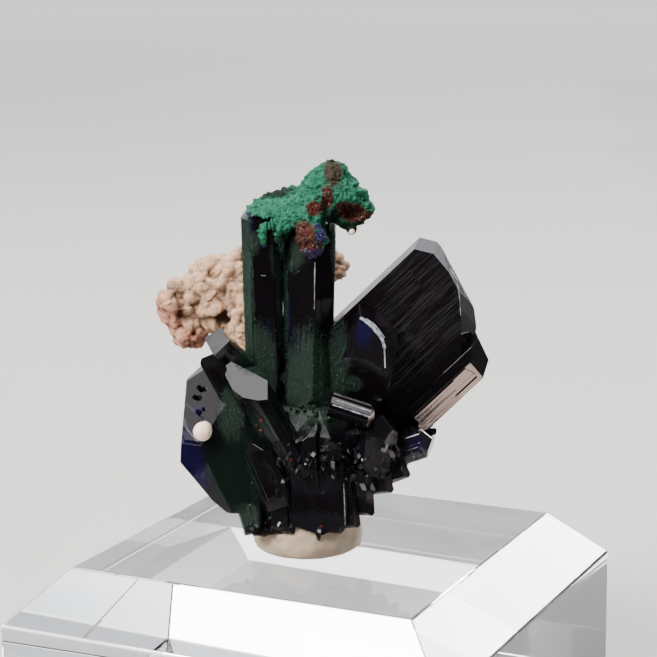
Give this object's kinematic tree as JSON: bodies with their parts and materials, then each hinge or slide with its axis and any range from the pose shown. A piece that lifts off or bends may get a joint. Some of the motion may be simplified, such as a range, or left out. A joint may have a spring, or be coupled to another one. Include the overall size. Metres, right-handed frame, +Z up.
{
  "type": "azurite mineral specimen",
  "caption": "Cluster of dark blue bladed crystals with a green crust on top and a pale lump behind, held upright by putty on a clear bevelled square block.",
  "frame": {"origin": "centre of the block's underside, on the surface it stands on", "axes": "+Z up along the tall crystals; X and Y along the block's square sides, with -Y towards the face nearest the viewer's left"},
  "size_m": [0.0318, 0.0318, 0.0393],
  "materials": {
    "azurite": "vitreous dark blue crystal faces, nearly black, dusted dark green in places",
    "malachite": "velvety bright green crust with red-brown hollows",
    "matrix_stone": "matte cream to salmon botryoidal crust",
    "calcite": "smooth cream bead with a waxy shine",
    "putty": "ivory mounting putty, softly pressed",
    "acrylic": "polished clear acrylic"
  },
  "bodies": {
    "root": {"azurite_crystals": "azurite", "malachite_cap": "malachite", "matrix_lump": "matrix_stone", "left_bead": "calcite", "mounting_putty": "putty", "acrylic_block": "acrylic"}
  },
  "joints": []
}
